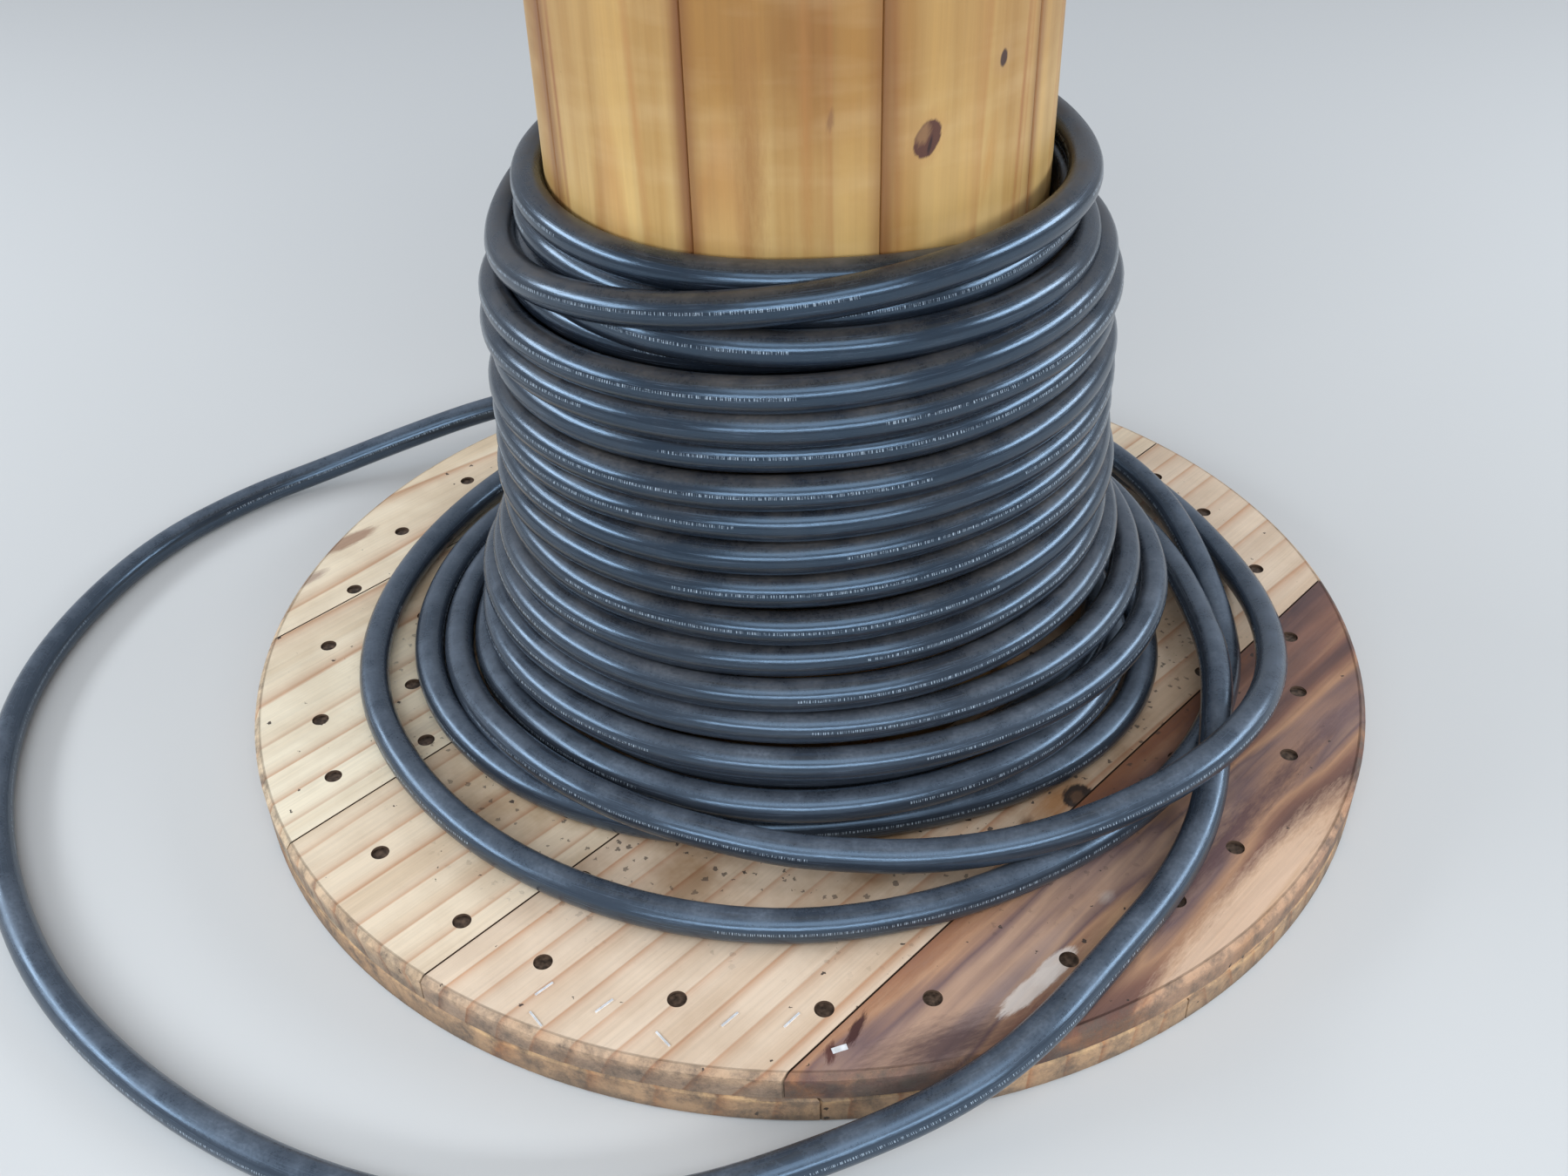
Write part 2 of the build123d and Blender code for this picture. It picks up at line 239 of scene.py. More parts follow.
# A round tube along the line. Its UV map is in metres: along the cable, and round it
def makeTube(name, line, radius, sides):
    verts, along = [], []
    tangent = (line[1] - line[0]).normalized()
    side = tangent.orthogonal().normalized()
    length = 0
    for i, place in enumerate(line):
        ahead = line[min(i + 1, len(line) - 1)] - line[max(i - 1, 0)]
        newTangent = ahead.normalized()
        side = (tangent.rotation_difference(newTangent) @ side)
        side = (side - side.dot(newTangent) * newTangent).normalized()
        tangent = newTangent
        other = tangent.cross(side)
        if i:
            length += (place - line[i - 1]).length
        along.append(length)
        for k in range(sides):
            a = 2 * math.pi * k / sides
            verts.append(place + radius * (math.cos(a) * side + math.sin(a) * other))
    faces, uvs = [], []
    roundStep = 2 * math.pi * radius / sides
    for i in range(len(line) - 1):
        for k in range(sides):
            n = (k + 1) % sides
            faces.append((i * sides + k, i * sides + n, (i + 1) * sides + n, (i + 1) * sides + k))
            v0, v1 = k * roundStep, (k + 1) * roundStep
            uvs += [(along[i], v0), (along[i], v1), (along[i + 1], v1), (along[i + 1], v0)]
    for first, order in ((0, -1), ((len(line) - 1) * sides, 1)):
        faces.append([first + k for k in range(sides)][::order])
        uvs += [(0, 0)] * sides
    obj = newObject(name, verts, faces)
    layer = obj.data.uv_layers.new(name="lengthwise")
    for loop, uv in zip(layer.data, uvs):
        loop.uv = uv
    return obj, length


route = cableRoute()
line = smoothLine(route)
cableTube, cableLength = makeTube("cable", line, cableRadius, cable["sides"])
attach(cableTube, "root")
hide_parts("cable_pile", "cable_flange_loops", "cable_floor_loop")
print("cable", round(cableLength, 2), "m,", len(line), "rings")


# Small helpers for shader nodes
def newMaterial(name):
    material = bpy.data.materials.new(name)
    material.use_nodes = True
    tree = material.node_tree
    return material, tree, tree.nodes["Principled BSDF"]


def setInput(tree, socket, value):
    if hasattr(value, "is_linked"):
        tree.links.new(value, socket)
    else:
        socket.default_value = value


def addNode(tree, kind, inputs=None, **settings):
    node = tree.nodes.new(kind)
    for key, value in settings.items():
        setattr(node, key, value)
    for key, value in (inputs or {}).items():
        setInput(tree, node.inputs[key], value)
    return node


def addMath(tree, operation, a, b=0.0, clamp=False):
    return addNode(tree, "ShaderNodeMath", {0: a, 1: b}, operation=operation, use_clamp=clamp).outputs[0]


def plus(tree, a, b, clamp=False):
    return addMath(tree, "ADD", a, b, clamp)


def minus(tree, a, b, clamp=False):
    return addMath(tree, "SUBTRACT", a, b, clamp)


def times(tree, a, b, clamp=False):
    return addMath(tree, "MULTIPLY", a, b, clamp)


# A noise value around zero, as wide as the reach
def wobble(tree, value, reach):
    return times(tree, minus(tree, value, 0.5), reach)


def addVector(tree, operation, a, b=(0, 0, 0)):
    return addNode(tree, "ShaderNodeVectorMath", {0: a, 1: b}, operation=operation).outputs


def stretch(tree, vector, factors):
    return addVector(tree, "MULTIPLY", vector, factors)[0]


def turned(tree, vector, angle):
    return addNode(tree, "ShaderNodeVectorRotate", {"Vector": vector, "Angle": angle}, rotation_type="Z_AXIS",
                   invert=True).outputs[0]


def split(tree, vector):
    return addNode(tree, "ShaderNodeSeparateXYZ", {"Vector": vector}).outputs


def join(tree, x, y, z=0.0):
    return addNode(tree, "ShaderNodeCombineXYZ", {"X": x, "Y": y, "Z": z}).outputs[0]


def objectPlace(tree):
    return addNode(tree, "ShaderNodeTexCoord").outputs["Object"]


def facingUp(tree):
    return split(tree, addNode(tree, "ShaderNodeNewGeometry").outputs["Normal"])["Z"]


def addNoise(tree, vector, scale, detail, roughness=0.5, distortion=0.0):
    return addNode(tree, "ShaderNodeTexNoise", {"Vector": vector, "Scale": scale, "Detail": detail,
                                                "Roughness": roughness, "Distortion": distortion}).outputs


def addRange(tree, value, fromMin, fromMax, toMin=0.0, toMax=1.0, **settings):
    return addNode(tree, "ShaderNodeMapRange", {"Value": value, "From Min": fromMin, "From Max": fromMax,
                                                "To Min": toMin, "To Max": toMax}, **settings).outputs[0]


def addMix(tree, factor, a, b, blend="MIX"):
    node = addNode(tree, "ShaderNodeMix", {0: factor}, data_type="RGBA", blend_type=blend)
    for place, value in ((6, a), (7, b)):
        setInput(tree, node.inputs[place], value if hasattr(value, "is_linked") else (*value, 1))
    return node.outputs[2]


def addRamp(tree, value, stops):
    node = addNode(tree, "ShaderNodeValToRGB", {"Fac": value})
    elements = node.color_ramp.elements
    while len(elements) < len(stops):
        elements.new(0.5)
    for element, (place, colour) in zip(elements, stops):
        element.position = place
        element.color = (*colour, 1) if len(colour) == 3 else (colour[0],) * 3 + (1,)
    return node.outputs["Color"]


def addBump(tree, height, strength, distance):
    return addNode(tree, "ShaderNodeBump", {"Height": height, "Strength": strength,
                                            "Distance": distance}).outputs["Normal"]


def newGroup(name, vectors, values, outputs):
    group = bpy.data.node_groups.new(name, "ShaderNodeTree")
    for label in vectors:
        group.interface.new_socket(name=label, in_out="INPUT", socket_type="NodeSocketVector")
    for label, default in values.items():
        socket = group.interface.new_socket(name=label, in_out="INPUT", socket_type="NodeSocketFloat")
        socket.default_value = default
    for label in outputs:
        group.interface.new_socket(name=label, in_out="OUTPUT", socket_type="NodeSocketFloat")
    return group, group.nodes.new("NodeGroupInput").outputs, group.nodes.new("NodeGroupOutput").inputs


# Sawn pine. Each noise: stretch along and across the board, scale, detail, roughness, distortion
pine = {
    "bend": ((0.25, 1, 1), 8.0, 1.5),
    "bendReach": 0.035,
    "lateRise": 7.0,                 # how suddenly a ring's late wood begins
    "lateEnd": 0.95,                 # the share of the ring after which it ends
    "noises": {
        "Fibre": ((9, 420, 420), 1.0, 4.0, 0.65),
        "Patches": ((1, 1, 1), 14.0, 5.0, 0.6),
        "Streaks": ((2.2, 42, 42), 1.0, 3.5),
        "Bands": ((2.6, 24, 24), 1.0, 4.5, 0.42, 0.35),
    },
}


# Year rings cut by the board's face, fine fibre along it, broad streaks and patches
def makeGrainGroup():
    group, inn, out = newGroup(
        "pineGrain", ["Vector"], {"Angle": 0.0, "Shift": 0.0, "Pith": 0.0, "Depth": 0.05, "Lean": 0.05,
                                  "Ring Scale": 70.0, "Waviness": 1.0}, ["Rings", *pine["noises"]])
    turn = turned(group, inn["Vector"], inn["Angle"])
    placed = addVector(group, "ADD", turn, join(group, inn["Shift"], inn["Shift"], inn["Shift"]))[0]
    factors, *noise = pine["bend"]
    bend = addNoise(group, stretch(group, placed, factors), *noise)["Fac"]
    warp = times(group, minus(group, bend, 0.5), inn["Waviness"])
    parts = split(group, turn)
    across = minus(group, parts["Y"], inn["Pith"])
    sunk = plus(group, plus(group, parts["Z"], inn["Depth"]), times(group, parts["X"], inn["Lean"]))
    square = plus(group, times(group, across, across), times(group, sunk, sunk))
    reach = plus(group, addMath(group, "SQRT", square), times(group, warp, pine["bendReach"]))
    phase = addMath(group, "FRACT", times(group, reach, inn["Ring Scale"]))
    rise = addMath(group, "POWER", phase, pine["lateRise"])
    fall = addRange(group, phase, pine["lateEnd"], 1.0, 1.0, 0.0)
    group.links.new(times(group, rise, fall), out["Rings"])
    for label, (factors, *noise) in pine["noises"].items():
        group.links.new(addNoise(group, stretch(group, placed, factors), *noise)["Fac"], out[label])
    return group


# One mark with a ragged edge, such as a knot or a scrape, on a plane
def makeMarkGroup():
    group, inn, out = newGroup("woodMark", ["Vector", "Centre"], {"Angle": 0.0, "Length": 0.01, "Width": 0.005,
                                                                  "Ragged": 0.5, "Softness": 0.3}, ["Mask"])
    turn = turned(group, addVector(group, "SUBTRACT", inn["Vector"], inn["Centre"])[0], inn["Angle"])
    scaled = addVector(group, "DIVIDE", turn, join(group, inn["Length"], inn["Width"], 1.0))[0]
    away = addVector(group, "LENGTH", stretch(group, scaled, (1, 1, 0)))["Value"]
    noise = addNoise(group, stretch(group, turn, (90, 420, 90)), 1.0, 4.0, 0.7)["Fac"]
    ragged = plus(group, away, wobble(group, noise, inn["Ragged"]))
    group.links.new(addRange(group, ragged, 1.0, minus(group, 1.0, inn["Softness"])), out["Mask"])
    return group


# Small dark specks of trodden-in dirt
def makeSpeckGroup():
    group, inn, out = newGroup("dirtSpecks", ["Vector"], {"Scale": 60.0, "Share": 0.5, "Size": 0.5}, ["Mask"])
    lean = stretch(group, addNoise(group, inn["Vector"], 420.0, 3.0)["Color"], (0.005, 0.005, 0.005))
    place = addVector(group, "ADD", inn["Vector"], lean)[0]
    cells = addNode(group, "ShaderNodeTexVoronoi", {"Vector": place, "Scale": inn["Scale"]}).outputs
    pick = addNode(group, "ShaderNodeSeparateColor", {"Color": cells["Color"]}).outputs[0]
    size = times(group, minus(group, pick, minus(group, 1.0, inn["Share"])), inn["Size"])
    group.links.new(addRange(group, minus(group, size, cells["Distance"]), 0.0, 0.025), out["Mask"])
    return group


grainGroup = makeGrainGroup()
markGroup = makeMarkGroup()
speckGroup = makeSpeckGroup()


def placeGroup(tree, group, vector, **values):
    node = addNode(tree, "ShaderNodeGroup", node_tree=group)
    tree.links.new(vector, node.inputs["Vector"])
    for key, value in values.items():
        node.inputs[key.replace("_", " ")].default_value = value
    return node.outputs


# The marks of one board or stave, each painted over the ones before it
def paintMarks(tree, colour, marks, number, vector):
    for host, centre, turn, length, width, tint, strength, ragged, soft in marks.values():
        if host == number:
            mark = placeGroup(tree, markGroup, vector, Centre=(*centre, 0), Angle=math.radians(turn),
                              Length=length, Width=width, Ragged=ragged, Softness=soft)
            colour = addMix(tree, times(tree, mark["Mask"], strength), colour, tint)
    return colour


def connect(tree, shader, **values):
    for key, value in values.items():
        tree.links.new(value, shader.inputs[key.replace("_", " ")])


# Tones are ramps: each stop is a noise value, or a share of the rim's height, with a colour or a grey
flangeWood = {
    "late": (0.50, 0.205, 0.080),
    "dirt": (0.46, 0.355, 0.250),    # darkens the wood by this much
    "speck": (0.055, 0.038, 0.030),
    # painted shade, with dirt, on the walls of the joints and nail holes
    "gap": (0.085, 0.048, 0.028),
    "rimDark": (0.105, 0.080, 0.062),
    "ringScale": 52.0,
    "waviness": 0.45,
    "pithReach": 0.3,                # how far from the axis a plain board's pith may lie
    "lean": 0.05,
    "coilEdge": (0.225, 0.325),      # dirt gathers between these radii, beside the coil
    "specks": {"Scale": 110.0, "Share": 0.26, "Size": 0.70},
    "coilSpecks": {"Scale": 170.0, "Share": 0.60, "Size": 0.58},
    "rimEdge": (0.3765, 0.3785),     # the rim's weathering sets in between these radii
    "rimHeight": 0.040,
    "rimWobble": 0.020,
    "saw": (75.0, 5.0, 0.7),         # saw marks on the rim: noise scale, detail, roughness
    "sawRelief": 12.0,
    "unevenTone": [(0.34, (0.55,)), (0.60, (1,))],
    "streakTone": [(0.28, (0.86, 0.80, 0.74)), (0.50, (1, 1, 1)), (0.75, (1.05, 1.05, 1.04))],
    "stainTone": [(0.30, (0.070, 0.040, 0.046)), (0.39, (0.22, 0.105, 0.075)), (0.46, (0.47, 0.26, 0.15)),
                  (0.52, (0.17, 0.105, 0.105)), (0.58, (0.46, 0.29, 0.20)), (0.64, (0.30, 0.21, 0.19)),
                  (0.72, (0.62, 0.44, 0.32))],
    "fibreTone": [(0.30, (0.92,)), (0.62, (1.03,))],
    "patchTone": [(0.42, (0,)), (0.66, (1,))],
    # the pale stop at 0.47, the outer ply's top edge, is a painted highlight
    "rimTone": [(0.02, (0.22, 0.18, 0.15)), (0.16, (0.50, 0.41, 0.33)), (0.40, (0.58, 0.47, 0.37)),
                (0.47, (0.92, 0.78, 0.56)), (0.50, (0.36, 0.30, 0.26)), (0.70, (0.36, 0.30, 0.27)),
                (0.82, (0.66, 0.55, 0.46)), (0.96, (0.84, 0.73, 0.63))],
    "boards": {                      # paler or darker boards, and how much of each is stained; boards 4 and 5, on the left, are paler partly as painted light
        "lowerInner1": {"early": (0.56, 0.34, 0.215), "pith": -0.335, "depth": 0.030, "stain": 0.95},
        "lowerInner2": {"early": (0.750, 0.590, 0.440), "pith": -0.330, "depth": 0.040, "stain": 0},
        "lowerInner3": {"early": (0.810, 0.665, 0.490), "pith": 0.150, "depth": 0.045, "stain": 0},
        "lowerInner4": {"early": (0.890, 0.780, 0.590), "pith": 0.240, "depth": 0.035, "stain": 0},
        "lowerInner5": {"early": (0.890, 0.755, 0.560), "pith": 0.330, "depth": 0.035, "stain": 0},
    },
    "plain": {"early": (0.74, 0.55, 0.37), "depth": 0.05, "stain": 0.08},
}
# Marks on the lower flange's face: board, centre, angle, half length, half width, colour, strength, ragged,
# softness
flangeMarks = {
    "sapwood": (1, (0.243, -0.282), 49, 0.165, 0.0210, (0.82, 0.57, 0.39), 0.80, 0.7, 0.45),
    "sapLine": (1, (0.246, -0.290), 50, 0.150, 0.0030, (0.62, 0.38, 0.22), 0.70, 0.9, 0.9),
    "darkBand": (1, (0.225, -0.244), 48, 0.210, 0.0105, (0.12, 0.062, 0.062), 0.90, 1.1, 0.7),
    "redBand": (1, (0.150, -0.205), 47, 0.300, 0.0140, (0.33, 0.130, 0.055), 0.80, 1.2, 0.9),
    "tanBand": (1, (0.185, -0.270), 46, 0.120, 0.0110, (0.56, 0.35, 0.20), 0.60, 1.3, 0.9),
    "greyBand": (1, (0.262, -0.128), 47, 0.150, 0.0200, (0.25, 0.16, 0.135), 0.55, 1.0, 0.9),
    "cornerStain": (1, (0.070, -0.362), 22, 0.060, 0.0190, (0.075, 0.038, 0.038), 0.85, 0.9, 0.8),
    "scrape": (1, (0.1180, -0.3270), 44, 0.0270, 0.0062, (0.76, 0.67, 0.60), 0.85, 0.8, 0.22),
    "scrapeEnd": (1, (0.1330, -0.3120), 46, 0.0200, 0.0068, (0.76, 0.67, 0.60), 0.80, 0.8, 0.25),
    "paleFleck": (1, (0.170, -0.262), 44, 0.0080, 0.0050, (0.62, 0.54, 0.48), 0.45, 1.0, 0.8),
    "gumStreak": (2, (0.118, -0.178), 47, 0.1200, 0.0060, (0.62, 0.35, 0.19), 0.55, 0.9, 0.9),
    "knotHalo": (2, (0.152, -0.184), 47, 0.0340, 0.0150, (0.47, 0.21, 0.060), 0.80, 0.7, 0.8),
    "knotTail": (2, (0.130, -0.205), 60, 0.0120, 0.0050, (0.17, 0.080, 0.035), 0.80, 1.1, 0.6),
    "knot": (2, (0.166, -0.180), 60, 0.0125, 0.0095, (0.030, 0.018, 0.015), 0.97, 0.6, 0.20),
    "knotCore": (2, (0.1655, -0.1805), 60, 0.0070, 0.0050, (0.19, 0.105, 0.060), 0.80, 1.2, 0.4),
    "tornEdge": (1, (0.0225, -0.3520), 62, 0.0150, 0.0038, (0.050, 0.012, 0.010), 0.95, 1.6, 0.4),
    "tornTip": (1, (0.0090, -0.3660), 80, 0.0090, 0.0040, (0.080, 0.020, 0.015), 0.90, 1.8, 0.5),
    "cornerGum": (2, (0.040, -0.345), 50, 0.0300, 0.0050, (0.40, 0.20, 0.11), 0.60, 1.0, 0.9),
    "oilSmear": (3, (-0.178, -0.325), 20, 0.0240, 0.0100, (0.34, 0.29, 0.24), 0.55, 1.2, 0.9),
    "greySmear": (4, (-0.255, -0.110), 40, 0.0300, 0.0090, (0.42, 0.36, 0.29), 0.40, 1.3, 0.9),
    "bark": (5, (-0.354, 0.112), 47, 0.0300, 0.0085, (0.36, 0.20, 0.13), 0.80, 0.8, 0.4),
    "barkTail": (5, (-0.372, 0.062), 50, 0.0200, 0.0060, (0.30, 0.18, 0.14), 0.70, 0.8, 0.5),
}


# One flange board: grain, marks, dirt, painted shade in its joints and nail holes, and a rim that weathers by
# its height over the flange's outer face
def flangeMaterial(name, angle, shift, board, number, level, face):
    wood = flangeWood
    material, tree, shader = newMaterial(name)
    where = objectPlace(tree)
    upright = minus(tree, 1.0, addMath(tree, "ABSOLUTE", facingUp(tree)), clamp=True)
    pith = random.uniform(-wood["pithReach"], wood["pithReach"])
    grain = placeGroup(tree, grainGroup, where, Angle=math.radians(angle), Shift=shift,
                       Pith=board.get("pith", pith), Depth=board["depth"],
                       Lean=random.uniform(-wood["lean"], wood["lean"]), Ring_Scale=wood["ringScale"],
                       Waviness=wood["waviness"])
    late = times(tree, grain["Rings"], addRamp(tree, grain["Bands"], wood["unevenTone"]))
    colour = addMix(tree, late, board["early"], wood["late"])
    colour = addMix(tree, 0.9, colour, addRamp(tree, grain["Streaks"], wood["streakTone"]), "MULTIPLY")
    if board["stain"]:
        colour = addMix(tree, board["stain"], colour, addRamp(tree, grain["Bands"], wood["stainTone"]))
    underCoil = level == "lower" and face == "inner"
    if underCoil:
        colour = paintMarks(tree, colour, flangeMarks, number, where)
    colour = addMix(tree, 1.0, colour, addRamp(tree, grain["Fibre"], wood["fibreTone"]), "MULTIPLY")
    # Dirt: thin all over, thicker beside the coil, in specks
    parts = split(tree, where)
    radius = addVector(tree, "LENGTH", join(tree, parts["X"], parts["Y"]))["Value"]
    inner, outer = wood["coilEdge"]
    nearCoil = times(tree, addRange(tree, radius, outer, inner), 1.0 if underCoil else 0.0)
    patch = addRamp(tree, grain["Patches"], wood["patchTone"])
    thick = addRange(tree, nearCoil, 0.0, 1.0, 0.25, 0.80)
    smear = plus(tree, times(tree, patch, thick), times(tree, nearCoil, 0.35), clamp=True)
    colour = addMix(tree, smear, colour, wood["dirt"], "MULTIPLY")
    specks = placeGroup(tree, speckGroup, where, **wood["specks"])["Mask"]
    coilSpecks = placeGroup(tree, speckGroup, where, **wood["coilSpecks"])["Mask"]
    spots = addMath(tree, "MAXIMUM", specks, times(tree, coilSpecks, nearCoil))
    colour = addMix(tree, times(tree, spots, 0.95), colour, wood["speck"])
    # Rim: the upper edge is rubbed pale, the ply's lower half is dark, the outer ply golden with floor dirt
    # and its top edge pale, a painted highlight
    height = parts["Z"] if level == "lower" else minus(tree, drumHeight, parts["Z"])
    uneven = plus(tree, height, wobble(tree, grain["Patches"], wood["rimWobble"]))
    tone = addRamp(tree, addRange(tree, uneven, 0.0, wood["rimHeight"]), wood["rimTone"])
    onRim = addRange(tree, radius, *wood["rimEdge"])
    colour = addMix(tree, times(tree, onRim, 0.85), colour, addMix(tree, 1.0, colour, tone, "MULTIPLY"))
    saw = addNoise(tree, where, *wood["saw"])["Fac"]
    blotch = times(tree, addRamp(tree, saw, wood["patchTone"]), onRim)
    colour = addMix(tree, times(tree, blotch, 0.80), colour, wood["rimDark"])
    # Painted shade, with dirt: the upright walls of the joints and nail holes are darkened
    shadedWalls = times(tree, minus(tree, 1.0, onRim), upright)
    colour = addMix(tree, shadedWalls, colour, wood["gap"])
    relief = plus(tree, times(tree, grain["Rings"], 0.5), grain["Fibre"])
    relief = plus(tree, relief, times(tree, times(tree, saw, onRim), wood["sawRelief"]))
    connect(tree, shader, Base_Color=colour, Roughness=addRange(tree, grain["Fibre"], 0.0, 1.0, 0.60, 0.85),
            Normal=addBump(tree, relief, 0.4, 0.0006))
    return material


def dress(node, material):
    obj = nodes[node]
    obj.data.materials.clear()
    obj.data.materials.append(material)


for level in ("lower", "upper"):
    for number in range(1, 6):
        innerWay, outerWay = (boardAngle, 1.7 * number), (boardAngle - 90, 20 + 1.3 * number)
        for face, (angle, shift) in (("inner", innerWay), ("outer", outerWay)):
            title = f"{level}{face.capitalize()}"
            board = flangeWood["boards"].get(f"{title}{number}", flangeWood["plain"])
            material = flangeMaterial(f"{title}Board{number}", angle, shift, board, number, level, face)
            dress(f"{level}_flange_{face}_board_{number}", material)
print("flange boards dressed")

barrelWood = {
    "radius": 0.146,
    "pale": (0.62, 0.415, 0.160),    # near the coil
    "golden": (0.355, 0.175, 0.042), # darker and more golden higher up, partly painted shade under the upper flange
    "goldenShadeRise": (0.350, 0.48),     # between these heights
    "goldenShadeWobble": 0.12,
    "tone": [1.0, 0.62, 0.7, 0.9, 0.6, 0.8, 1.0, 0.7, 0.55],      # how golden each stave is; the staves seen at the sides are paler, partly a painted sky reflection
    "coilShade": (0.30, 0.24, 0.18),    # painted shade, with dirt, darkens the wood inside the coil
    "coilTop": (0.372, 0.355),       # and between these heights
    "late": (0.38, 0.150, 0.038),
    "rubbed": (0.70, 0.50, 0.27),
    "speck": (0.16, 0.07, 0.03),
    "joint": (0.20, 0.070, 0.018),
    "jointReach": 0.0105,
    "jointWobble": 0.012,
    "ringScale": 58.0,
    "waviness": 0.5,
    "pithReach": 0.02,
    "pithDepth": 0.045,
    "lean": 0.03,
    "streakTone": [(0.30, (0.76, 0.64, 0.47)), (0.5, (1, 1, 1)), (0.70, (1.18, 1.18, 1.12))],
    "rubTone": [(0.50, (0,)), (0.74, (1,))],
    "fibreTone": [(0.30, (0.95,)), (0.62, (1.02,))],
    "firstAngle": -111.7,
    "angles": [38, 41, 40, 40, 40, 40, 40, 40, 41],
    "jointShade": [(0.9, 0.7), (1.0, 0.8), (0.8, 0.6), (0.6, 0.6), (0.6, 0.6), (0.6, 0.6), (0.6, 0.6),
                   (0.6, 0.9), (0.8, 1.2)],
}
# Marks on the staves: stave, place across and height, angle, half length, half width, colour, strength,
# ragged, softness
barrelMarks = {
    "knotShade": (2, (-0.0276, 0.437), 66, 0.0190, 0.0120, (0.44, 0.22, 0.065), 0.60, 0.7, 0.9),
    "knotRim": (2, (-0.0276, 0.437), 62, 0.0105, 0.0072, (0.075, 0.020, 0.016), 0.95, 0.40, 0.14),
    "knotHeart": (2, (-0.0300, 0.4400), 62, 0.0072, 0.0042, (0.270, 0.140, 0.060), 0.85, 1.4, 0.50),
    "knotCrack": (2, (-0.0262, 0.4335), 75, 0.0058, 0.0012, (0.020, 0.006, 0.006), 0.85, 1.4, 0.50),
    "pinShade": (2, (0.0193, 0.467), 70, 0.0120, 0.0080, (0.42, 0.24, 0.10), 0.55, 0.6, 0.9),
    "pinKnot": (2, (0.0193, 0.467), 80, 0.0050, 0.0030, (0.040, 0.014, 0.012), 0.95, 0.4, 0.3),
    "gum": (2, (0.0120, 0.415), 80, 0.0300, 0.0060, (0.48, 0.235, 0.060), 0.60, 1.1, 0.9),
    "edgeLine": (2, (0.0380, 0.440), 88, 0.1200, 0.0026, (0.34, 0.130, 0.035), 0.75, 0.7, 0.9),
    "scratch": (1, (0.0230, 0.452), 82, 0.0070, 0.0022, (0.22, 0.10, 0.04), 0.60, 1.6, 0.6),
    "darkBand": (1, (-0.0160, 0.430), 90, 0.0900, 0.0095, (0.33, 0.150, 0.040), 0.75, 0.9, 0.9),
    "warmBand": (1, (0.0110, 0.460), 90, 0.1100, 0.0045, (0.40, 0.175, 0.045), 0.70, 0.8, 0.9),
    "warmLine": (9, (0.0230, 0.460), 92, 0.1200, 0.0036, (0.45, 0.215, 0.065), 0.65, 0.8, 0.9),
    "darkLine": (9, (-0.0400, 0.450), 91, 0.1300, 0.0030, (0.30, 0.110, 0.030), 0.80, 0.6, 0.9),
}


def staveMaterial(number, middle, span, shades):
    wood = barrelWood
    material, tree, shader = newMaterial(f"stave{number}")
    where = objectPlace(tree)
    parts = split(tree, turned(tree, where, math.radians(middle)))
    alongStave = join(tree, parts["Z"], parts["Y"], minus(tree, parts["X"], wood["radius"]))
    onFace = join(tree, parts["Y"], parts["Z"])
    grain = placeGroup(tree, grainGroup, alongStave, Shift=2.3 * number, Ring_Scale=wood["ringScale"],
                       Pith=random.uniform(-wood["pithReach"], wood["pithReach"]), Depth=wood["pithDepth"],
                       Lean=random.uniform(-wood["lean"], wood["lean"]), Waviness=wood["waviness"])
    # Darker and more golden higher up: partly the wood's tone, partly painted shade under the upper flange
    height = plus(tree, parts["Z"], wobble(tree, grain["Patches"], wood["goldenShadeWobble"]))
    golden = times(tree, addRange(tree, height, *wood["goldenShadeRise"]), wood["tone"][number - 1])
    colour = addMix(tree, golden, wood["pale"], wood["golden"])
    colour = addMix(tree, times(tree, grain["Rings"], 0.62), colour, wood["late"])
    colour = addMix(tree, 0.9, colour, addRamp(tree, grain["Streaks"], wood["streakTone"]), "MULTIPLY")
    # Painted shade, with some dirt, on the wood inside the coil
    inCoilShade = addRange(tree, parts["Z"], *wood["coilTop"])
    colour = addMix(tree, inCoilShade, colour, wood["coilShade"], "MULTIPLY")
    # Rubbed bands across, as from the cable's turns
    rub = addNoise(tree, stretch(tree, onFace, (11, 48, 1)), 1.0, 3.0)["Fac"]
    colour = addMix(tree, times(tree, addRamp(tree, rub, wood["rubTone"]), 0.22), colour, wood["rubbed"])
    colour = paintMarks(tree, colour, barrelMarks, number, onFace)
    # Reddish shade beside the joints
    half = wood["radius"] * math.sin(math.radians(span / 2))
    for side, strength in zip((-1, 1), shades):
        toEdge = minus(tree, half, times(tree, parts["Y"], side))
        uneven = plus(tree, toEdge, wobble(tree, grain["Streaks"], wood["jointWobble"]))
        shade = addRange(tree, uneven, wood["jointReach"], 0.0, interpolation_type="SMOOTHSTEP")
        colour = addMix(tree, times(tree, shade, 0.80 * strength, clamp=True), colour, wood["joint"])
    colour = addMix(tree, 1.0, colour, addRamp(tree, grain["Fibre"], wood["fibreTone"]), "MULTIPLY")
    specks = placeGroup(tree, speckGroup, where, Scale=130.0, Share=0.16)["Mask"]
    colour = addMix(tree, times(tree, specks, 0.7), colour, wood["speck"])
    relief = plus(tree, times(tree, grain["Rings"], 0.3), grain["Fibre"])
    connect(tree, shader, Base_Color=colour, Roughness=addRange(tree, rub, 0.0, 1.0, 0.36, 0.62),
            Normal=addBump(tree, relief, 0.16, 0.0004))
    return material


jointAngle = barrelWood["firstAngle"]
for number, (span, shades) in enumerate(zip(barrelWood["angles"], barrelWood["jointShade"]), 1):
    dress(f"barrel_stave_{number}", staveMaterial(number, jointAngle + span / 2, span, shades))
    jointAngle += span
print("staves dressed")

# Colour, roughness, metallic, and how uneven the colour is
metals = {
    "nail": ((0.100, 0.066, 0.046), 0.45, 0.5, 0.60),
    "zinc": ((0.55, 0.56, 0.57), 0.38, 1.0, 0.25),
    "staple": ((0.80, 0.82, 0.84), 0.35, 0.3, 0.15),
}


